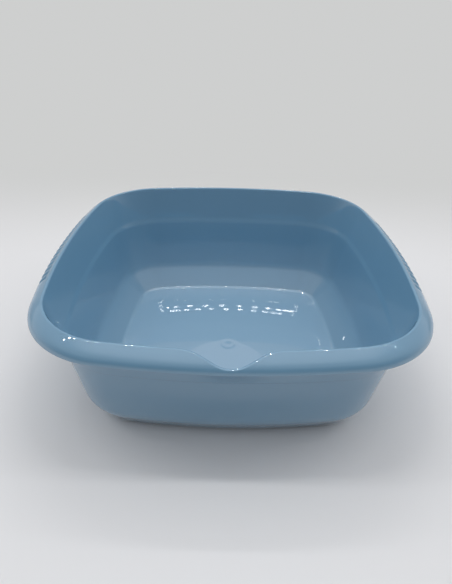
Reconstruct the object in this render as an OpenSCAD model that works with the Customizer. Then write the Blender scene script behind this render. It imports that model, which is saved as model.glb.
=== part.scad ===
// Square washing up bowl, moulded in one thin wall of polypropylene.
// The regions of the moulding are drawn as separate solids that meet face to face.
// Z is up, the bowl stands on z = 0, and the pouring lip is at -Y.

/* [Overall size] */
// Width and depth over the rim, from roll to roll
overall = 320; // [290:1:350]
// Height from the table to the top of the rim
height = 117; // [100:1:140]
// Radius of each side's outward bow, at the rim's inner edge
side_bow_r = 618; // [480:1:900]
// Corner radius in plan, at the rim's inner edge
corner_r = 63; // [56:1:80]
// Wall thickness
wall = 2; // [1.6:0.1:2.6]

/* [Walls] */
// Depth of the upper band of the inner wall, from the rim to the step
band_depth = 35.8; // [28:0.1:44]
// Slope of the upper band, from upright
band_draft = 14.3; // [11:0.1:17]
// How far the wall steps in below the upper band
step_in = 1.1; // [0.6:0.1:2]
// Slope of the lower wall, from upright
wall_draft = 10.4; // [8:0.1:13]

/* [Base] */
// Height of the slanted base band over the floor
base_band_h = 25.2; // [18:0.1:30]
// Slope of the slanted base band, from level
base_band_angle = 54.8; // [48:0.1:60]
// Floor thickness
floor_t = 2.2; // [1.8:0.1:3]
// Inner radius of the bend from the lower wall to the base band
shoulder_r = 12; // [6:0.5:20]
// Outer radius of the same bend
shoulder_outer_r = 30; // [20:1:40]
// Inner radius of the bend from the base band to the floor
floor_bend_r = 5.5; // [3:0.5:8]
// Diameter of the round gate mark in the floor
gate_d = 15; // [10:0.5:22]
// Depth of the gate mark
gate_depth = 0.4; // [0.2:0.1:0.8]

/* [Rim] */
// Flat on top of the rim, next to its inner edge
crown_flat = 0.6; // [0.4:0.1:2]
// Outer radius of the rim's roll
roll_r = 12.2; // [11:0.1:14]
// Thickness of the rim
rim_wall = 2; // [1.6:0.1:2.6]
// Rounding of the rim's inner edge
edge_r = 1.2; // [0.8:0.1:1.5]

/* [Pouring lip] */
// Length of the lip along the rim
lip_length = 71; // [56:1:84]
// Length of the level bottom of the lip
lip_flat = 3; // [0:0.5:10]
// How far round the roll the lip's edge dips, from the top
lip_angle = 64; // [45:1:68]
// How far the scoop follows the wall before it leans out
lip_root = 6; // [3:0.5:10]

/* [Grips] */
// Number of ribs in each grip
ribs = 16; // [10:1:18]
// Distance from rib to rib
rib_pitch = 8.8; // [7:0.1:9.4]
// Width of each rib
rib_w = 5; // [3:0.1:6]
// Depth of the flutes between the ribs
flute_depth = 1.7; // [1:0.1:2.2]
// How far round the roll the flutes start, from the top
flute_start = 24; // [15:1:35]

/* [Hidden] */
$fn = 144;
eps = 0.01;
blue = [0.49, 0.63, 0.72];
deep_blue = [0.42, 0.56, 0.67];

// Plan. Each side is an arc of side_bow_r and each corner an arc of corner_r,
// tangent to it. A section is drawn as distance out from the rim's inner edge
// against height, and swept along these eight arcs.
half = overall / 2 - crown_flat - roll_r;
bow_c = side_bow_r - half;
bow_in = side_bow_r - corner_r;
// Angles are kept to a thousandth of a degree, so that the arcs' ends meet exactly.
function neat(v) = round(v * 1000) / 1000;
// Half the angle of a side arc, to where the corner's centre on the diagonal is in
// line with the side arc's own centre
near_c = (sqrt(2 * bow_in * bow_in - bow_c * bow_c) - bow_c) / 2;
side_angle = neat(atan2(near_c, near_c + bow_c));
corner_c = bow_c * tan(side_angle) / (1 - tan(side_angle));
corner_arc_r = side_bow_r - corner_c / sin(side_angle);

// Levels
z_roll = height - roll_r;
z_step = height - band_depth;
z_bend = floor_t + base_band_h;

// Directions up the upper band, the lower wall and the base band
band_u = [sin(band_draft), cos(band_draft)];
wall_u = [sin(wall_draft), cos(wall_draft)];
base_u = [cos(base_band_angle), sin(base_band_angle)];
step_u = [sqrt(0.5), sqrt(0.5)];

function out_of(u) = [u[1], -u[0]];
function unit(v) = v / norm(v);
// Where the line through p along u meets the line through q along v
function meet(p, u, q, v) =
    p + u * (cross(q - p, v) / cross(u, v));
// The points of an arc of radius r that rounds the corner q between p and s
function rounded(p, q, s, r, n) =
    let (a = unit(p - q), b = unit(s - q),
        half_turn = acos(a * b) / 2,
        c = q + unit(a + b) * (r / sin(half_turn)),
        t = q + a * (r / tan(half_turn)),
        way = cross(t - c, b) > 0 ? 1 : -1,
        from = atan2(t[1] - c[1], t[0] - c[0]),
        turn = 180 - 2 * half_turn)
    [for (i = [0:n]) c + r * [cos(from + way * turn * i / n), sin(from + way * turn * i / n)]];

// Inner side of the basin, from the step down to the floor
in_top = [-band_depth * tan(band_draft), z_step];
in_ledge = in_top - step_in * [1, 1];
in_bend = in_ledge - wall_u * ((in_ledge[1] - z_bend) / wall_u[1]);
in_floor = in_bend - base_u * (base_band_h / base_u[1]);

// Outer side, one wall thickness away from each inner line
band_q = in_top + wall * out_of(band_u);
step_q = in_top + wall * out_of(step_u);
wall_q = in_bend + wall * out_of(wall_u);
base_q = in_floor + wall * out_of(base_u);
out_top = meet(band_q, band_u, in_top, [1, 0]);
out_step = meet(band_q, band_u, step_q, step_u);
out_ledge = meet(step_q, step_u, wall_q, wall_u);
out_bend = meet(wall_q, wall_u, base_q, base_u);
out_floor = meet(base_q, base_u, [0, 0], [1, 0]);

// Where the floor panel ends, clear of both bends
floor_edge = min(in_floor[0] - floor_bend_r * tan(base_band_angle / 2),
    out_floor[0] - (floor_bend_r + wall) * tan(base_band_angle / 2)) - 1;
// Where the base band ends, above the shoulder's bend
z_shoulder = z_bend + 1
    + shoulder_outer_r * tan((90 - wall_draft - base_band_angle) / 2);
// Where the wall ends and the rim starts
z_rim = height - 1.5 * rim_wall;

// Rim
roll_c = [crown_flat, z_roll];
roll_in_r = roll_r - rim_wall;
roll_split = crown_flat + roll_r * sin(flute_start);
function on_roll(a, r) = roll_c + r * [sin(a), cos(a)];
// Points round the roll at radius r, from one angle to another
function roll_arc(r, from, to, n) = [for (i = [0:n]) on_roll(from + (to - from) * i / n, r)];
// How far round the roll the crown's end is, at radius r
function split_angle(r) = asin((roll_split - crown_flat) / r);

// Lip. At blend b the rim's inner edge has moved out round the roll.
lip_half = neat(lip_length / 2 / side_bow_r * 180 / PI);
lip_level = lip_flat / 2 / side_bow_r * 180 / PI;
lip_steps = 14;
function ease(t) = t * t * (3 - 2 * t);
function lip_blend(a) =
    ease(min(1, max(0, (lip_half - abs(a)) / (lip_half - lip_level))));
function brink(b) =
    let (a = lip_angle * b)
    [crown_flat * min(1, a / 5) + roll_r * sin(a), height - roll_r * (1 - cos(a))];
// The scoop runs up the band by lean, and then leans out to the brink.
function lean(b) = in_top + band_u * (band_depth / 2 * (1 - b) + lip_root * b);
function curve(p, q, s, t) = (1 - t) * (1 - t) * p + 2 * t * (1 - t) * q + t * t * s;
// Where the line from p along u leaves the inside of the roll
function under_roll(p, u) =
    let (d = p - roll_c, k = d * u, in_line = p + u * (sqrt(k * k - d * d + roll_in_r * roll_in_r) - k),
        a = min(89, atan2(in_line[0] - roll_c[0], in_line[1] - roll_c[1])))
    a;
function scoop_root(b) =
    let (u = unit(brink(b) - lean(b)))
    under_roll(lean(b) + wall * out_of(u), u);
// The rounded edge at the brink, and how far round the roll it ends
function edge_half(b) =
    let (u = unit(brink(b) - lean(b)))
    (atan2(u[1], u[0]) + lip_angle * b) / 2;
function edge_len(b) = edge_r * tan(edge_half(b));
function edge_end(b) =
    lip_angle * b
    + (edge_len(b) - crown_flat * (1 - min(1, lip_angle * b / 5))) / roll_r * 180 / PI;
function edge_points(b, n) =
    let (e = brink(b), end = on_roll(edge_end(b), roll_r))
    [for (p = rounded(lean(b), e, e + 5 * unit(end - e), edge_r, n)) p];

// The whole section of wall and rim at blend b, from the step up and over
function lip_section(b) =
    let (e = brink(b), m = lean(b), u = unit(e - m),
        start = e - u * edge_len(b),
        a_end = edge_end(b), a_root = scoop_root(b),
        m_out = m + wall * out_of(u),
        root = on_roll(a_root, roll_in_r))
    concat(
        [for (i = [0:7]) curve(in_top, m, start, i / 8)],
        edge_points(b, 4),
        [for (i = [1:9]) on_roll(a_end + (90 - a_end) * i / 9, roll_r)],
        [for (i = [0:7]) on_roll(90 + (a_root - 90) * i / 8, roll_in_r)],
        [for (i = [0:7]) curve(root, m_out, out_top, i / 7)]);

// Sections
module basin_section() {
    polygon(concat(
        [in_top, in_ledge],
        rounded(in_ledge, in_bend, in_floor, shoulder_r, 4),
        rounded(in_bend, in_floor, [in_floor[0] - 50, floor_t], floor_bend_r, 5),
        [[floor_edge, floor_t], [floor_edge, 0]],
        rounded([floor_edge, 0], out_floor, out_bend, floor_bend_r + wall, 5),
        rounded(out_floor, out_bend, out_ledge, shoulder_outer_r, 4),
        [out_ledge, out_step, out_top]));
}

module band_section() {
    polygon([in_top, in_top + band_u * ((z_rim - z_step) / band_u[1]),
        out_top + band_u * ((z_rim - z_step) / band_u[1]), out_top]);
}

module crown_section() {
    top = split_angle(roll_r);
    start = edge_end(0);
    polygon(concat(
        [in_top + band_u * ((z_rim - z_step) / band_u[1])],
        edge_points(0, 4),
        roll_arc(roll_r, (start + top) / 2, top, 2),
        roll_arc(roll_in_r, split_angle(roll_in_r), scoop_root(0), 3),
        [out_top + band_u * ((z_rim - z_step) / band_u[1])]));
}

module outer_roll_section(outer_r = roll_r, inner_r = roll_in_r) {
    polygon(concat(
        roll_arc(outer_r, split_angle(outer_r), 90, 8),
        roll_arc(inner_r, 90, split_angle(inner_r), 8)));
}

module below(z) {
    intersection() {
        children();
        translate([-half, -eps]) square([2 * half, z + eps]);
    }
}

module above(z) {
    intersection() {
        children();
        translate([-half, z]) square([2 * half, height]);
    }
}

// Sweeps. Side 0 is the front, 1 the right, 2 the back and 3 the left.
module shift(x, y) {
    translate([neat(x), neat(y), 0]) translate([x - neat(x), y - neat(y), 0]) children();
}

module along_side(k, from, to) {
    rotate([0, 0, 90 * k]) shift(0, bow_c)
        rotate_extrude(angle = to - from, start = 270 + from) shift(side_bow_r, 0) children();
}

module along_corner(k) {
    rotate([0, 0, 90 * k]) shift(corner_c, -corner_c)
        rotate_extrude(angle = 90 - 2 * side_angle, start = 270 + side_angle)
            shift(corner_arc_r, 0) children();
}

module ring() {
    for (k = [0:3]) {
        along_side(k, -side_angle, side_angle) children();
        along_corner(k) children();
    }
}

// The same ring, open at the front for the lip
module open_ring() {
    along_side(0, -side_angle, -lip_half) children();
    along_side(0, lip_half, side_angle) children();
    for (k = [1:3]) along_side(k, -side_angle, side_angle) children();
    for (k = [0:3]) along_corner(k) children();
}

// Floor: a plate inside a rim strip that follows the plan
module floor_panel() {
    strip = 0.8 * (corner_r + floor_edge);
    mid = floor_edge - strip / 2;
    color(blue) difference() {
        union() {
            ring() translate([floor_edge - strip, 0]) square([strip, floor_t]);
            linear_extrude(height = floor_t) polygon([for (k = [0:3], s = [-1, 1])
                let (a = 90 * k - 90 + s * side_angle,
                    c = bow_c * [cos(90 * k + 90), sin(90 * k + 90)])
                c + (side_bow_r + mid) * [cos(a), sin(a)]]);
        }
        translate([0, 0, floor_t - gate_depth]) cylinder(d = gate_d, h = gate_depth + 1);
    }
}

// Slanted band that rounds up from the floor into the walls
module base_band() {
    color(blue) ring() below(z_shoulder) basin_section();
}

module lower_wall() {
    color(blue) ring() above(z_shoulder) basin_section();
}

// Upper band of the wall, above the step and open at the lip
module upper_wall() {
    color(blue) open_ring() band_section();
}

// Top of the rim, with its rounded inner edge
module rim_crown() {
    color(blue) open_ring() crown_section();
}

// Angle that the ribs of a grip take up on their side arc
rib_step = rib_pitch / (side_bow_r + crown_flat + roll_r) * 180 / PI;
rib_angle = rib_w / (side_bow_r + crown_flat + roll_r) * 180 / PI;
grip_angle = neat((ribs - 1) / 2 * rib_step + rib_angle / 2);

// Outer part of the rim's roll, in three lengths between the lip and the grips
module rim_roll_front_left() {
    color(blue) union() {
        along_side(0, -side_angle, -lip_half) outer_roll_section();
        along_corner(3) outer_roll_section();
        along_side(3, grip_angle, side_angle) outer_roll_section();
    }
}

module rim_roll_front_right() {
    color(blue) union() {
        along_side(0, lip_half, side_angle) outer_roll_section();
        along_corner(0) outer_roll_section();
        along_side(1, -side_angle, -grip_angle) outer_roll_section();
    }
}

module rim_roll_back() {
    color(blue) union() {
        along_side(1, grip_angle, side_angle) outer_roll_section();
        along_corner(1) outer_roll_section();
        along_side(2, -side_angle, side_angle) outer_roll_section();
        along_corner(2) outer_roll_section();
        along_side(3, -side_angle, -grip_angle) outer_roll_section();
    }
}

// Grip: the roll drawn in by the flutes' depth, with ribs out to the roll's own face
module grip(k) {
    valley_r = roll_r - flute_depth;
    color(deep_blue) union() {
        along_side(k, -grip_angle, grip_angle) outer_roll_section(valley_r, valley_r - rim_wall);
        for (i = [0:ribs - 1])
            let (a = (i - (ribs - 1) / 2) * rib_step)
            along_side(k, neat(a - rib_angle / 2), neat(a + rib_angle / 2))
                outer_roll_section(roll_r, valley_r);
    }
}

module left_grip() {
    grip(3);
}

module right_grip() {
    grip(1);
}

// Pouring lip: the wall and rim sections lofted from the full rim at each end
// to the scoop in the middle, where the edge has dipped down the front of the roll
module pouring_lip() {
    stations = [for (i = [-lip_steps:lip_steps]) lip_half * i / lip_steps];
    sections = [for (a = stations) lip_section(lip_blend(a))];
    n = len(sections[0]);
    last = len(stations) - 1;
    points = [for (j = [0:last], p = sections[j])
        [(side_bow_r + p[0]) * sin(stations[j]), bow_c - (side_bow_r + p[0]) * cos(stations[j]), p[1]]];
    sides = [for (j = [0:last - 1], i = [0:n - 1])
        let (a = j * n + i, b = j * n + (i + 1) % n)
        each [[a, b, b + n], [a, b + n, a + n]]];
    color(blue) polyhedron(points = points,
        faces = concat(sides, [[for (i = [n - 1:-1:0]) i], [for (i = [0:n - 1]) last * n + i]]));
}

floor_panel();
base_band();
lower_wall();
upper_wall();
rim_crown();
rim_roll_front_left();
rim_roll_front_right();
rim_roll_back();
pouring_lip();
left_grip();
right_grip();
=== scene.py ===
"""Square washing up bowl in glossy pale blue plastic, on a plain pale table.

The bowl is one closed skin: a section of inside, rim and outside, carried along a
plan of eight arcs. The section is worked out in millimetres, the skin is in metres.
"""
import math

import bpy
import numpy as np
from mathutils import Matrix, Vector


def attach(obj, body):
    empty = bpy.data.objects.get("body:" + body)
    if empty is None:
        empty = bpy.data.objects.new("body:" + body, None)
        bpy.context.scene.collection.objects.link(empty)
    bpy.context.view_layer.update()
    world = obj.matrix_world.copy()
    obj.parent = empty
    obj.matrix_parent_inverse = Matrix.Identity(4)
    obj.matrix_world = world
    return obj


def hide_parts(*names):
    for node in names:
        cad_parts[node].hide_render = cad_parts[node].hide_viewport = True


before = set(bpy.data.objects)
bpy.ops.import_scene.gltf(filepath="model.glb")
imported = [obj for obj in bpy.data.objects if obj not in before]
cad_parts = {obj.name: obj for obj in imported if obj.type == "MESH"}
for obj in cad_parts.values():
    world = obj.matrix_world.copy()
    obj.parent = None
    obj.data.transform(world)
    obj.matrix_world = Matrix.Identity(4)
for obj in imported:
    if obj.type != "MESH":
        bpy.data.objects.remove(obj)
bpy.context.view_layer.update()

# Sizes of the moulding as in the part's source, in millimetres and radians.
OVERALL = 320.0
HEIGHT = 117.0
SIDE_BOW_R = 618.0
CORNER_R = 63.0
WALL = 2.0
BAND_DEPTH = 35.8
BAND_DRAFT = math.radians(14.3)
STEP_IN = 1.1
WALL_DRAFT = math.radians(10.4)
BASE_BAND_H = 25.2
BASE_BAND_ANGLE = math.radians(54.8)
FLOOR_T = 2.2
SHOULDER_OUTER_R = 30.0
FLOOR_BEND_R = 5.5
GATE_R = 7.5
GATE_DEPTH = 0.4
CROWN_FLAT = 0.6
ROLL_R = 12.2
RIM_WALL = 2.0
LIP_LENGTH = 71.0
LIP_FLAT = 3.0
LIP_ROOT = 6.0
RIBS = 16
RIB_PITCH = 8.8
RIB_W = 5.0

# Softer forms that the skin has and the part's source hasn't, in millimetres.
SHOULDER_R = 26.0  # bend from base band to lower wall, inside
FLOOR_COVE_R = 6.0  # bend from floor to base band, inside
STEP_R = 1.2  # both bends of the step, outside
LEDGE_REACH = 3.5  # how far the soft step inside runs up and down the wall
LEDGE_HOLD = 0.9  # length of its curve's handles, as a share of that reach
GATE_SHARE = 0.35  # how much of GATE_DEPTH the softened gate mark has
GATE_EDGE_OUT = 1.0  # how far outside GATE_R its soft edge starts
GATE_EDGE_W = 3.0  # how wide that edge is
PIP_H = 0.08  # the low pip in its middle
PIP_R = 2.0
FLUTE_DEPTH = 2.3
FLUTE_SPREAD = 0.9  # how far a flute runs up each of its two ribs
FLUTE_FLATNESS = 2.0  # above 1, a flute's bottom is flat and its sides are steeper
GRIP_REACH = RIBS / 2 - 0.75  # pitches from a grip's middle to the end of its flutes

# The plan: centres of its side and corner arcs, and angles seen from a side's centre.
HALF = OVERALL / 2 - CROWN_FLAT - ROLL_R
BOW_C = SIDE_BOW_R - HALF
BOW_IN = SIDE_BOW_R - CORNER_R
CORNER_C = (math.sqrt(2 * BOW_IN**2 - BOW_C**2) - BOW_C) / 2
SIDE_ANGLE = math.atan2(CORNER_C, CORNER_C + BOW_C)
RIM_R = SIDE_BOW_R + CROWN_FLAT + ROLL_R
LIP_HALF = LIP_LENGTH / 2 / SIDE_BOW_R
LIP_LEVEL = LIP_FLAT / 2 / SIDE_BOW_R
GRIP_HALF = (RIBS * RIB_PITCH / 2) / RIM_R

# How many steps the plan takes over each stretch.
BACK_STEPS = 24
LIP_STEPS = 72
RIB_STEPS = 10
LIP_SIDE_STEPS = 8
GRIP_SIDE_STEPS = 4
CORNER_STEPS = 30


# ---------------------------------------------------------------- camera
CAMERA_AT = (-0.0057, -0.3815, 0.3114)
CAMERA_DOWN = math.radians(32.707)
CAMERA_TURN = math.radians(0.322)
CAMERA_LEAN = math.radians(1.447)
CAMERA_LENS = 28.86
CAMERA_SENSOR = 36.0


def place_camera():
    """The camera of the photograph, in front of the bowl and looking down into it."""
    flat = math.cos(CAMERA_DOWN)
    ahead = Vector((math.sin(CAMERA_TURN) * flat, math.cos(CAMERA_TURN) * flat,
                    -math.sin(CAMERA_DOWN)))
    level = Vector((math.cos(CAMERA_TURN), -math.sin(CAMERA_TURN), 0))
    upright = level.cross(ahead)
    right = math.cos(CAMERA_LEAN) * level + math.sin(CAMERA_LEAN) * upright
    up = math.cos(CAMERA_LEAN) * upright - math.sin(CAMERA_LEAN) * level
    data = bpy.data.cameras.new("camera")
    data.sensor_width = CAMERA_SENSOR
    data.lens = CAMERA_LENS
    camera = bpy.data.objects.new("camera", data)
    bpy.context.scene.collection.objects.link(camera)
    turn = Matrix((right, up, -ahead)).transposed().to_4x4()
    camera.matrix_world = Matrix.Translation(CAMERA_AT) @ turn
    bpy.context.scene.camera = camera


# ---------------------------------------------------------------- the plan
def smooth(t):
    """A step from 0 to 1 that starts and ends level, for t from 0 to 1."""
    return t * t * (3 - 2 * t)


def spread(a, b, n):
    """n even stops from a up to b, with b left out."""
    return np.linspace(a, b, n + 1)[:-1]


def side_stops(k):
    """The stops of side k, as angles from its middle. They lie close together over
    the lip in front (side 0) and over the grips left and right (sides 1 and 3)."""
    if k == 2:
        return spread(-SIDE_ANGLE, SIDE_ANGLE, BACK_STEPS)
    half, fine, coarse = (
        (LIP_HALF, LIP_STEPS, LIP_SIDE_STEPS) if k == 0
        else (GRIP_HALF, RIBS * RIB_STEPS, GRIP_SIDE_STEPS))
    return np.concatenate([
        spread(-SIDE_ANGLE, -half, coarse),
        spread(-half, half, fine),
        spread(half, SIDE_ANGLE, coarse)])


def plan_path():
    """The bowl's plan as eight tangent arcs, four bowed sides and four corners.

    Returns each stop's arc centre, arc radius at the rim's inner edge, heading of
    its outward normal, lip blend (1 in the lip's middle) and flute depth (1 in the
    bottom of a flute). Offsetting a stop outward by d keeps the arc's centre and
    the heading and adds d to the radius.
    """
    arcs = []
    for k in range(4):
        c, s = math.cos(k * math.pi / 2), math.sin(k * math.pi / 2)
        side = side_stops(k)
        bend = spread(SIDE_ANGLE, math.pi / 2 - SIDE_ANGLE, CORNER_STEPS)
        for along, centre, radius in (
                (side, (-BOW_C * s, BOW_C * c), SIDE_BOW_R),
                (bend, (CORNER_C * (c + s), CORNER_C * (s - c)), CORNER_R)):
            fixed = [np.full(along.size, value) for value in (*centre, radius, k)]
            arcs.append(np.stack([*fixed, along]))
    cx, cy, radius, side_no, along = np.concatenate(arcs, axis=1)
    heading = side_no * math.pi / 2 - math.pi / 2 + along

    into_lip = np.clip((LIP_HALF - np.abs(along)) / (LIP_HALF - LIP_LEVEL), 0, 1)
    blend = np.where(side_no == 0, smooth(into_lip), 0.0)

    # Ribs lie half a pitch off the whole pitches, so the flutes lie on these.
    pitches = along * RIM_R / RIB_PITCH
    flute_half = (RIB_PITCH - RIB_W) / 2 + FLUTE_SPREAD
    gap = np.abs(pitches - np.round(pitches)) * RIB_PITCH / flute_half
    in_grip = (np.abs(pitches) < GRIP_REACH) & (side_no % 2 == 1)
    flute = np.where(in_grip, np.clip(FLUTE_FLATNESS * (1 - gap**2), 0, 1), 0.0)
    return cx, cy, radius, heading, blend, flute


# ---------------------------------------------------------------- section tools
def unit(v):
    """A vector scaled to length one."""
    return v / np.linalg.norm(v, axis=-1, keepdims=True)


def out_of(u):
    """The direction a quarter turn clockwise from u."""
    return np.stack([u[..., 1], -u[..., 0]], axis=-1)


def meet(p, u, q, v):
    """The point where the line through p along u meets the line through q along v."""
    w = q - p
    return p + u * ((w[0] * v[1] - w[1] * v[0]) / (u[0] * v[1] - u[1] * v[0]))


def rounded(p, q, s, r, n):
    """The arc of radius r tangent to qp and qs: its centre lies on the bisector at
    r over the sine of the half angle, and it runs from one tangent point to the other."""
    a, b = unit(p - q), unit(s - q)
    half = math.acos(float(np.dot(a, b))) / 2
    c = q + unit(a + b) * (r / math.sin(half))
    t0 = q + a * (r / math.tan(half)) - c
    way = 1.0 if t0[0] * b[1] - t0[1] * b[0] > 0 else -1.0
    ang = math.atan2(t0[1], t0[0]) + way * np.linspace(0, math.pi - 2 * half, n)
    return c + r * np.stack([np.cos(ang), np.sin(ang)], axis=1)


def steps(p, q, n):
    """n points on the straight line from p to q, both ends left out."""
    t = (np.arange(n) + 1.0) / (n + 1.0)
    return p + t[:, None] * (q - p)


def cubic(p, q, r, s, t):
    """The cubic curve from p towards q and from r on to s."""
    return (1 - t)**3 * p + 3 * t * (1 - t)**2 * q + 3 * t**2 * (1 - t) * r + t**3 * s


def quadratics(p, q, s, t):
    """One quadratic curve for each row of p, q and s, from p towards q and on to s."""
    t = t[None, :, None]
    return (1 - t)**2 * p[:, None] + 2 * t * (1 - t) * q[:, None] + t**2 * s[:, None]


# ---------------------------------------------------------------- the section
# Directions of its straight stretches, each going up or outward.
BAND_U = np.array([math.sin(BAND_DRAFT), math.cos(BAND_DRAFT)])
WALL_U = np.array([math.sin(WALL_DRAFT), math.cos(WALL_DRAFT)])
BASE_U = np.array([math.cos(BASE_BAND_ANGLE), math.sin(BASE_BAND_ANGLE)])
STEP_U = np.array([math.sqrt(0.5), math.sqrt(0.5)])
LEVEL = np.array([1.0, 0.0])

# Its corners before rounding: distance out from the rim's inner edge, and height.
IN_TOP = np.array([-BAND_DEPTH * math.tan(BAND_DRAFT), HEIGHT - BAND_DEPTH])
IN_LEDGE = IN_TOP - STEP_IN
Z_BEND = FLOOR_T + BASE_BAND_H
IN_BEND = IN_LEDGE - WALL_U * ((IN_LEDGE[1] - Z_BEND) / WALL_U[1])
IN_FLOOR = IN_BEND - BASE_U * (BASE_BAND_H / BASE_U[1])
BAND_Q = IN_TOP + WALL * out_of(BAND_U)
STEP_Q = IN_TOP + WALL * out_of(STEP_U)
WALL_Q = IN_BEND + WALL * out_of(WALL_U)
BASE_Q = IN_FLOOR + WALL * out_of(BASE_U)
OUT_TOP = meet(BAND_Q, BAND_U, IN_TOP, LEVEL)
OUT_STEP = meet(BAND_Q, BAND_U, STEP_Q, STEP_U)
OUT_LEDGE = meet(STEP_Q, STEP_U, WALL_Q, WALL_U)
OUT_BEND = meet(WALL_Q, WALL_U, BASE_Q, BASE_U)
OUT_FLOOR = meet(BASE_Q, BASE_U, np.array([0.0, 0.0]), LEVEL)
FLOOR_RUN = 50.0  # some flat floor next to its bends, to give their direction

# How many rows of points each stretch of the section takes: up the inside, over the
# rim and back under it, and down the outside.
COVE_ROWS = 13
BASE_ROWS = 4
SHOULDER_ROWS = 12
WALL_ROWS = 6
LEDGE_ROWS = 11
BAND_ROWS = 13
EDGE_ROWS = 10
ROLL_ROWS = 22
TIP_ROWS = 6
UNDER_ROWS = 10
OUT_BAND_ROWS = 8
OUT_STEP_ROWS = 4
OUT_WALL_ROWS = 5
OUT_BASE_ROWS = 3
BOTTOM_ROWS = 9

# The rim's outside is one cubic curve. It leaves the inner edge at BROW_SLOPE below
# level, and SKIRT_HANDLE brings it down nearly upright at the skirt. It starts
# EDGE_RISE above HEIGHT, since the rounding of the inner edge takes that off again.
BROW_SLOPE = math.radians(33.0)
BROW_HANDLE = 6.0
SKIRT_HANDLE = np.array([0.1, 6.4])
SKIRT_IN = 0.3
EDGE_RISE = 0.75
EDGE_SPAN = 2.0  # how far the rounding reaches to each side of the edge
RIM_START = np.array([EDGE_RISE * math.tan(BAND_DRAFT), HEIGHT + EDGE_RISE])
RIM_END = np.array([CROWN_FLAT + ROLL_R - SKIRT_IN, HEIGHT - ROLL_R])
BROW = RIM_START + BROW_HANDLE * np.array([math.cos(BROW_SLOPE), -math.sin(BROW_SLOPE)])
SKIRT = RIM_END + SKIRT_HANDLE

# Places on that curve, from 0 at the inner edge to 1 at its end.
SKIRT_STOP = 0.95  # the edge of the skirt
LIP_REACH = 0.672  # the lip's brink in its middle
LIP_EASE = (0.61, 0.39)  # shares of LIP_REACH that go with the blend and its square
FLUTE_START = 0.22  # where a flute begins
FLUTE_FADE = 0.08  # how far it takes to come in
NUDGE = 0.01  # a short way along, to measure the curve's speed


def on_rim(t, inset):
    """Points of the rim's outer curve at t, moved in from the outside by inset, at
    right angles to the curve."""
    t = np.asarray(t, dtype=float)[..., None]
    ahead = ((1 - t)**2 * (BROW - RIM_START) + 2 * t * (1 - t) * (SKIRT - BROW)
             + t**2 * (RIM_END - SKIRT))
    inward = out_of(unit(ahead))
    return cubic(RIM_START, BROW, SKIRT, RIM_END, t) + inward * np.asarray(inset)[..., None]


def soft_ledge():
    """The step inside, drawn soft: a cubic curve that leaves the lower wall below
    the step and joins the upper band above it, along the slope of each."""
    low = IN_LEDGE - WALL_U * LEDGE_REACH
    high = IN_TOP + BAND_U * LEDGE_REACH
    hold = LEDGE_REACH * LEDGE_HOLD
    t = np.linspace(0, 1, LEDGE_ROWS)[:, None]
    return cubic(low, low + WALL_U * hold, high - BAND_U * hold, high, t)


def inner_profile():
    """Floor bend, slanted base band, shoulder, lower wall and step, going up."""
    floor = np.array([IN_FLOOR[0] - FLOOR_RUN, FLOOR_T])
    cove = rounded(floor, IN_FLOOR, IN_BEND, FLOOR_COVE_R, COVE_ROWS)
    shoulder = rounded(IN_FLOOR, IN_BEND, IN_LEDGE, SHOULDER_R, SHOULDER_ROWS)
    ledge = soft_ledge()
    return np.concatenate([
        cove, steps(cove[-1], shoulder[0], BASE_ROWS), shoulder,
        steps(shoulder[-1], ledge[0], WALL_ROWS), ledge])


def outer_profile():
    """Outer step, lower wall, shoulder, base band and bottom bend, going down."""
    floor = np.array([OUT_FLOOR[0] - FLOOR_RUN, 0.0])
    step = rounded(OUT_TOP, OUT_STEP, OUT_LEDGE, STEP_R, OUT_STEP_ROWS)
    ledge = rounded(OUT_STEP, OUT_LEDGE, OUT_BEND, STEP_R, OUT_STEP_ROWS)
    shoulder = rounded(OUT_LEDGE, OUT_BEND, OUT_FLOOR, SHOULDER_OUTER_R, SHOULDER_ROWS)
    bottom = rounded(OUT_BEND, OUT_FLOOR, floor, FLOOR_BEND_R + WALL, BOTTOM_ROWS)
    return np.concatenate([
        step, ledge, steps(ledge[-1], shoulder[0], OUT_WALL_ROWS), shoulder,
        steps(shoulder[-1], bottom[0], OUT_BASE_ROWS), bottom])


def rounded_edge(t_brink, u):
    """The rounding of the rim's inner edge, which turns from the band's direction u
    to the rim's own. Returns its points, and where on the rim's curve it ends."""
    brink = on_rim(t_brink, 0.0)
    speed = np.linalg.norm(on_rim(t_brink + NUDGE, 0.0) - brink, axis=1) / NUDGE
    t_leave = t_brink + EDGE_SPAN / speed
    leave = on_rim(t_leave, 0.0) - brink
    span = np.linalg.norm(leave, axis=1)
    v = unit(leave)
    half = (np.arctan2(u[:, 1], u[:, 0]) - np.arctan2(v[:, 1], v[:, 0])) / 2
    start = brink - u * span[:, None]
    left = -out_of(u)
    radius = (span / np.tan(half))[:, None]
    centre = start - left * radius
    turn = np.linspace(0, 1, EDGE_ROWS)[None, :] * (2 * half[:, None])
    a = np.arctan2(left[:, 1], left[:, 0])[:, None] - turn
    points = centre[:, None] + radius[..., None] * np.stack([np.cos(a), np.sin(a)], axis=-1)
    return points, t_leave


def root_place(foot, u):
    """Where on the rim's curve its underside meets the line from foot along u."""
    tries = np.linspace(0.0, 0.9, 181)
    away = on_rim(tries, RIM_WALL)[None] - foot[:, None]
    beyond = away[..., 0] * u[:, None, 1] - away[..., 1] * u[:, None, 0]
    return tries[np.argmax(beyond > 0, axis=1)]


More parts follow.
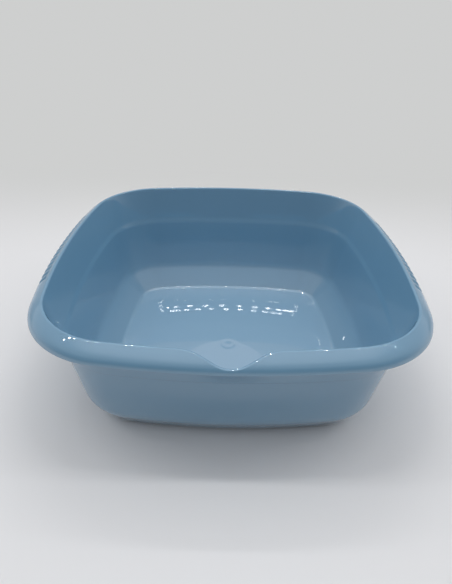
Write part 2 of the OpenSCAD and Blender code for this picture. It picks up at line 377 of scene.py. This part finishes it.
def rim_profile(blend, flute):
    """Upper band, rounded edge, roll, skirt's edge, and the way back under the roll
    and down the band's outside, for each stop of the plan.

    blend moves the rim's inner edge out along the rim's curve to the lip's brink,
    and bends the band into the scoop: it follows the wall, then leans straight at
    the brink. flute draws the roll in by the flutes' depth.
    """
    b = blend[:, None]
    deep = FLUTE_DEPTH * flute[:, None]
    t_brink = LIP_REACH * (LIP_EASE[0] * blend + LIP_EASE[1] * blend**2)
    lean = IN_TOP + BAND_U * (BAND_DEPTH / 2 * (1 - b) + LIP_ROOT * b)
    u = unit(on_rim(t_brink, 0.0) - lean)
    edge, t_leave = rounded_edge(t_brink, u)
    low = np.repeat((IN_TOP + BAND_U * LEDGE_REACH)[None], blend.size, 0)
    band = quadratics(low, lean, edge[:, 0], np.linspace(0, 1, BAND_ROWS + 2)[1:-1])

    share = np.linspace(0, 1, ROLL_ROWS + 1)[None, 1:]
    t = t_leave[:, None] + (SKIRT_STOP - t_leave[:, None]) * share
    roll = on_rim(t, deep * smooth(np.clip((t - FLUTE_START) / FLUTE_FADE, 0, 1)))

    tip_c = on_rim(np.full((blend.size, 1), SKIRT_STOP), deep + RIM_WALL / 2)
    out = unit(on_rim(SKIRT_STOP, 0.0) - on_rim(SKIRT_STOP, 1.0))
    spin = np.linspace(0, math.pi, TIP_ROWS + 2)[None, 1:-1, None]
    tip = tip_c + RIM_WALL / 2 * (np.cos(spin) * out + np.sin(spin) * out_of(out))

    foot = lean + WALL * out_of(u)
    t_root = root_place(foot, u)
    share = np.linspace(0, 1, UNDER_ROWS)[None, :]
    t = SKIRT_STOP + (t_root[:, None] - SKIRT_STOP) * share
    fade = np.clip((t - FLUTE_START - FLUTE_FADE) / (2 * FLUTE_FADE), 0, 1)
    under = on_rim(t, RIM_WALL + deep * fade)
    root = on_rim(t_root, RIM_WALL)
    last = np.repeat(OUT_TOP[None], blend.size, 0)
    out_band = quadratics(root, foot, last, np.linspace(0, 1, OUT_BAND_ROWS + 1)[1:])
    return np.concatenate([band, edge, roll, tip, under, out_band], axis=1)


# ---------------------------------------------------------------- the skin
ROUND_R = 12.0  # floor rings inside this radius are round
FLOOR_RINGS = (0.8, 1.6, 2.4, 3.4, 4.6, 5.5, 6.0, 6.5, 7.0, 7.5, 8.0, 8.5,
               12, 20, 32, 46, 60, 72, 82)
UNDERSIDE_RINGS = (94, 70, 45, 20, 6)


def gate_dip(r):
    """The round gate mark: a shallow flat recess with a soft edge and a low pip."""
    edge = np.clip((GATE_R + GATE_EDGE_OUT - r) / GATE_EDGE_W, 0, 1)
    return GATE_SHARE * GATE_DEPTH * smooth(edge) - PIP_H * math.exp(-(r / PIP_R) ** 2)


def no_dip(r):
    """A plain floor."""
    return 0.0


def floor_rings(edge_x, edge_y, z, rings, dip):
    """Rings that fill a flat floor inside its edge: round near the middle, and taking
    on the edge's own outline further out. dip lowers a ring by its radius."""
    heading = np.arctan2(edge_y, edge_x)
    r_edge = np.hypot(edge_x, edge_y)
    r_min = r_edge.min()
    points = []
    for r in rings:
        t = np.clip((r - ROUND_R) / (r_min - ROUND_R), 0, 1)
        reach = r * (1 - t) + r_edge * (r / r_min) * t
        points.append(np.stack([reach * np.cos(heading), reach * np.sin(heading),
                                np.full(reach.size, z) - dip(r)], axis=-1))
    return np.stack(points, axis=1)


def bowl_skin():
    """The whole moulding as one closed skin: the section carried along the plan.

    Columns run along the plan and rows run from the middle of the floor up the
    inside, over the rim and down the outside to the middle of the underside.
    """
    cx, cy, radius, heading, blend, flute = plan_path()
    n = cx.size
    section = np.concatenate([
        np.repeat(inner_profile()[None], n, 0),
        rim_profile(blend, flute),
        np.repeat(outer_profile()[None], n, 0)], axis=1)
    reach = radius[:, None] + section[..., 0]
    x = cx[:, None] + reach * np.cos(heading)[:, None]
    y = cy[:, None] + reach * np.sin(heading)[:, None]
    points = np.concatenate([
        floor_rings(x[:, 0], y[:, 0], FLOOR_T, FLOOR_RINGS, gate_dip),
        np.stack([x, y, section[..., 1]], axis=-1),
        floor_rings(x[:, -1], y[:, -1], 0.0, UNDERSIDE_RINGS, no_dip)], axis=1)
    m = points.shape[1]
    poles = np.array([[0, 0, FLOOR_T - gate_dip(0.0)], [0, 0, 0]])
    points = np.concatenate([points.reshape(-1, 3), poles]) / 1000.0

    j, i = np.meshgrid(np.arange(n), np.arange(m - 1), indexing="ij")
    a, b = j * m + i, ((j + 1) % n) * m + i
    quads = np.stack([a, a + 1, b + 1, b], -1).reshape(-1, 4)
    here, after = np.arange(n) * m, (np.arange(n) + 1) % n * m
    floor = np.stack([np.full(n, n * m), here, after], -1)
    underside = np.stack([np.full(n, n * m + 1), after + m - 1, here + m - 1], -1)
    return points, quads, np.concatenate([floor, underside])


def add_mesh(name, points, quads, tris):
    """A smooth-shaded mesh object from arrays of points, quads and triangles."""
    mesh = bpy.data.meshes.new(name)
    mesh.from_pydata(points.tolist(), [], quads.tolist() + tris.tolist())
    mesh.validate()
    mesh.polygons.foreach_set("use_smooth", np.ones(len(mesh.polygons), dtype=bool))
    mesh.update()
    piece = bpy.data.objects.new(name, mesh)
    bpy.context.scene.collection.objects.link(piece)
    return piece


# ---------------------------------------------------------------- node tools
def wire(tree, node, inputs):
    """Each named input of a node set to a value, or linked from another's output."""
    for name, value in inputs.items():
        if isinstance(value, bpy.types.NodeSocket):
            tree.links.new(value, node.inputs[name])
        else:
            node.inputs[name].default_value = value


def node_at(tree, kind, x, y, inputs=None, **fields):
    """A new node of a kind at a place in the tree, with its fields and inputs set."""
    node = tree.nodes.new(kind)
    node.location = (x, y)
    for name, value in fields.items():
        setattr(node, name, value)
    wire(tree, node, inputs or {})
    return node


def ranged(tree, value, ramp, x, y, kind="SMOOTHSTEP"):
    """A value carried over a ramp, given as from, to, result at from, result at to."""
    names = ("From Min", "From Max", "To Min", "To Max")
    node = node_at(tree, "ShaderNodeMapRange", x, y,
                   {"Value": value, **dict(zip(names, ramp))}, interpolation_type=kind)
    return node.outputs["Result"]


def combined(tree, kind, a, b, x, y):
    """The result of one sum, such as ADD, on two values or outputs."""
    node = node_at(tree, "ShaderNodeMath", x, y, {0: a, 1: b}, operation=kind)
    return node.outputs["Value"]


def noise(tree, place, scale, detail, x, y):
    """Soft random patches at a scale, in the object's own space."""
    node = node_at(tree, "ShaderNodeTexNoise", x, y,
                   {"Vector": place, "Scale": scale, "Detail": detail})
    return node.outputs["Fac"]


# ---------------------------------------------------------------- materials
BLUE_TINTS = ((0.3, (0.119, 0.268, 0.408, 1)), (0.7, (0.125, 0.276, 0.417, 1)))
# Painted sheen: the paler, greyer blue painted towards the base in place of neutral gloss.
SHEEN_BLUE = (0.195, 0.345, 0.480, 1)
SHEEN_TOP = 0.060  # height in metres at which the painted sheen has faded out
COAT = {"IOR": 1.5, "Coat Weight": 1.0, "Coat Roughness": 0.01, "Coat IOR": 1.8}
HAZE = (0.54, 0.62)  # roughness under the coat
CLOUDS = (14.0, 3.0)  # scale and detail of the patches of colour
PATCHES = (60.0, 4.0)  # the same for the haze
WAVES = (45.0, 1.0)  # the same for the faint waves of the surface
WAVE_RELIEF = {"Strength": 0.15, "Distance": 0.0002}
TABLE_WHITE = (0.76, 0.76, 0.77, 1)
TABLE_GLOSS = {"Roughness": 0.9, "Specular IOR Level": 0.2}
FAR_GREY = (0.617, 0.624, 0.622, 1)
FAR_RAMP = (0.15, 0.55, 0.0, 1.0)  # metres behind the bowl's centre, share of FAR_GREY


def new_material(name):
    """A new material, its node tree and its shader."""
    material = bpy.data.materials.new(name)
    material.use_nodes = True
    return material, material.node_tree, material.node_tree.nodes["Principled BSDF"]


def glossy_blue_plastic():
    """Smooth moulded polypropylene: pale blue, a faint cloudiness of colour, a clear
    skin that mirrors crisply, a softer haze of gloss under it, and a painted sheen of paler
    blue towards the base."""
    material, tree, shader = new_material("glossy_blue_plastic")
    place = node_at(tree, "ShaderNodeTexCoord", -1000, 0).outputs["Object"]

    cloud = noise(tree, place, *CLOUDS, -800, 200)
    tint = node_at(tree, "ShaderNodeValToRGB", -600, 200, {"Fac": cloud})
    for stop, (spot, colour) in zip(tint.color_ramp.elements, BLUE_TINTS):
        stop.position = spot
        stop.color = colour

    # Painted sheen: a paler, greyer blue is mixed in towards the base, inside and out, in
    # place of the neutral gloss on the floor and lower walls.
    split = node_at(tree, "ShaderNodeSeparateXYZ", -800, 500, {"Vector": place})
    low = ranged(tree, split.outputs["Z"], (0.0, SHEEN_TOP, 1.0, 0.0), -600, 500)
    painted_sheen = node_at(tree, "ShaderNodeMix", -300, 300,
                   {"Factor": low, "A": tint.outputs["Color"], "B": SHEEN_BLUE},
                   data_type="RGBA")

    patches = noise(tree, place, *PATCHES, -800, -100)
    gloss = ranged(tree, patches, (0.0, 1.0, *HAZE), -600, -100, kind="LINEAR")
    waves = noise(tree, place, *WAVES, -800, -400)
    relief = node_at(tree, "ShaderNodeBump", -400, -400, {**WAVE_RELIEF, "Height": waves})
    wire(tree, shader, {**COAT, "Base Color": painted_sheen.outputs["Result"],
                        "Roughness": gloss, "Normal": relief.outputs["Normal"]})
    return material


def matt_white():
    """The table's surface, matt and near white. The camera alone sees it turn to an
    even grey far behind the bowl, and it lights the bowl as plain white."""
    material, tree, shader = new_material("matt_white")
    wire(tree, shader, {"Base Color": TABLE_WHITE, **TABLE_GLOSS})
    seen = node_at(tree, "ShaderNodeLightPath", -700, 400).outputs["Is Camera Ray"]
    place = node_at(tree, "ShaderNodeTexCoord", -1100, 200).outputs["Object"]
    split = node_at(tree, "ShaderNodeSeparateXYZ", -900, 200, {"Vector": place})
    far = ranged(tree, split.outputs["Y"], FAR_RAMP, -700, 200)
    share = combined(tree, "MULTIPLY", seen, far, -500, 300)
    glow = node_at(tree, "ShaderNodeEmission", -300, 300, {"Color": FAR_GREY})
    mix = node_at(tree, "ShaderNodeMixShader", 200, 200, {
        "Fac": share, 1: shader.outputs["BSDF"], 2: glow.outputs["Emission"]})
    wire(tree, tree.nodes["Material Output"], {"Surface": mix.outputs["Shader"]})
    return material


# ---------------------------------------------------------------- stage and light
# The table in metres: its flat stretch, and the backdrop that it curves up into.
TABLE_HALF_W = 3.0
TABLE_FLAT_Y = (-2.0, -1.0, 0.0, 0.6)
TABLE_BACK = 1.3
TABLE_BEND_R = 0.35
TABLE_TOP = 0.5

# Rails of small round lamps: places along x, then y, height and diameter in metres,
# and the power of each lamp in watts.
EVEN = np.radians(np.arange(-75, 76, 15))
OUTER = np.arange(0.30, 0.95, 0.10)
LAMP_RAILS = {
    "front_rail_a": (0.055 * np.sin(EVEN), -0.160, 0.46, 0.005, 0.0075),
    "front_rail_b": (0.048 * np.sin(EVEN) + 0.003, -0.1495, 0.46, 0.005, 0.0075),
    "outer_rail": (np.concatenate([-OUTER[::-1], OUTER]), -0.128, 0.90, 0.016, 0.175),
    "glint_rail_a": (0.047 * np.arange(-2, 3), 0.2165, 0.46, 0.006, 0.010),
    "glint_rail_b": (0.0165 * np.arange(-5, 6, 2) + 0.003, 0.2265, 0.46, 0.006, 0.010),
    "back_rail": (0.042 * np.arange(-9, 10), 0.39, 1.185, 0.010, 0.092),
}
ROUND_LAMP = ((0.0, 0.66, 0.765), (0.0, 0.0, 0.0), 0.38, 0.15, (1.0, 0.94, 0.97))

# Brightness of the surroundings by direction: x to the right, y to the back, z up.
HEIGHT_RAMP = (0.0, 0.5, 0.55, 0.36)  # by z
CROWN_RAMP = (0.7, 0.9, 0.0, 0.45)  # by z, added
BACK_RAMP = (-0.8, 0.6, 0.0, 1.0)  # by y
ABOVE_RAMP = (0.3, 0.75, 0.0, 1.0)  # by z, added to the one by y
LIT_RAMP = (0.0, 1.0, 0.25, 1.3)  # by that sum, multiplies the first two
SIDES_RAMP = (0.25, 0.80, 0.0, 0.45)  # by x squared, added for matt light alone
WORLD_MIRRORED = 1.05  # how much brighter they are in the gloss than as light
WORLD_PLAIN = 0.6  # how bright the camera sees them
WORLD_WHITE = (0.985, 0.99, 1.0, 1)


def pale_table():
    """The table, which runs on behind the bowl and curves up into a low backdrop:
    flat, then a quarter circle, then a little upright."""
    a = np.linspace(0, math.pi / 2, 24)
    bend_y = TABLE_BACK - TABLE_BEND_R + TABLE_BEND_R * np.sin(a)
    bend_z = TABLE_BEND_R - TABLE_BEND_R * np.cos(a)
    y = np.concatenate([TABLE_FLAT_Y, bend_y, [TABLE_BACK]])
    z = np.concatenate([np.zeros(len(TABLE_FLAT_Y)), bend_z, [TABLE_TOP]])
    points = np.stack([np.stack([np.full(y.size, x), y, z], -1)
                       for x in (-TABLE_HALF_W, TABLE_HALF_W)], axis=1)
    i = np.arange(y.size - 1) * 2
    quads = np.stack([i, i + 1, i + 3, i + 2], -1)
    no_tris = np.zeros((0, 3), dtype=int)
    table = add_mesh("pale_table", points.reshape(-1, 3), quads, no_tris)
    table.data.materials.append(matt_white())


def round_lamp(name, place, target, size, watts, colour=(1, 1, 1)):
    """A round soft lamp at a place, turned to face a target."""
    data = bpy.data.lights.new(name, "AREA")
    data.shape = "DISK"
    data.size = size
    data.energy = watts
    data.color = colour
    lamp = bpy.data.objects.new(name, data)
    bpy.context.scene.collection.objects.link(lamp)
    aim = Vector(target) - Vector(place)
    lamp.rotation_euler = aim.to_track_quat("-Z", "Y").to_euler()
    lamp.location = place


def lamp_rail(name, places, y, z, size, watts):
    """A rail of small lamps over the bowl, all facing straight down."""
    for i, x in enumerate(places):
        round_lamp(f"{name}_{i:02d}", (x, y, z), (x, y, 0.0), size, watts)


def set_world():
    """A tent of light: bright behind the bowl and overhead, and dim in front up to
    a third of the way up. Its bright sides light the bowl and don't show in the
    gloss, and the camera sees a plain pale background in every direction."""
    world = bpy.data.worlds.new("surround")
    bpy.context.scene.world = world
    world.use_nodes = True
    tree = world.node_tree
    place = node_at(tree, "ShaderNodeTexCoord", -1500, 0).outputs["Generated"]
    x, y, z = node_at(tree, "ShaderNodeSeparateXYZ", -1300, 0, {"Vector": place}).outputs

    height = ranged(tree, z, HEIGHT_RAMP, -1100, 300)
    crown = ranged(tree, z, CROWN_RAMP, -1100, 200)
    behind = ranged(tree, y, BACK_RAMP, -1100, 0)
    above = ranged(tree, z, ABOVE_RAMP, -1100, -200)
    lit = combined(tree, "ADD", behind, above, -900, -100)
    lit = ranged(tree, lit, LIT_RAMP, -700, -100)
    level = combined(tree, "ADD", height, crown, -700, 200)
    level = combined(tree, "MULTIPLY", level, lit, -500, 0)
    sides = combined(tree, "MULTIPLY", x, x, -1300, -300)
    sides = ranged(tree, sides, SIDES_RAMP, -1100, -300)

    ray = node_at(tree, "ShaderNodeLightPath", -900, 500).outputs
    gloss = combined(tree, "MAXIMUM", ray["Is Transmission Ray"], ray["Is Glossy Ray"],
                     -700, 500)
    share = ranged(tree, gloss, (0.0, 1.0, 1.0, WORLD_MIRRORED), -300, 500)
    matt = combined(tree, "SUBTRACT", 1.0, gloss, -300, 300)
    sides = combined(tree, "MULTIPLY", sides, matt, -200, 300)
    total = combined(tree, "MULTIPLY", level, share, -200, 100)
    total = combined(tree, "ADD", total, sides, -100, 100)
    unseen = combined(tree, "SUBTRACT", 1.0, ray["Is Camera Ray"], -300, 700)
    plain = combined(tree, "MULTIPLY", ray["Is Camera Ray"], WORLD_PLAIN, -300, 900)
    total = combined(tree, "MULTIPLY", total, unseen, 0, 100)
    total = combined(tree, "ADD", total, plain, 100, 100)
    wire(tree, tree.nodes["Background"], {"Strength": total, "Color": WORLD_WHITE})


# ---------------------------------------------------------------- the scene
place_camera()
bowl = add_mesh("moulded_bowl", *bowl_skin())
bowl.data.materials.append(glossy_blue_plastic())
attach(bowl, "root")
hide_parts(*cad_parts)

pale_table()
set_world()
for rail, layout in LAMP_RAILS.items():
    lamp_rail(rail, *layout)
round_lamp("round_lamp", *ROUND_LAMP)

bpy.context.scene.view_settings.view_transform = "Standard"
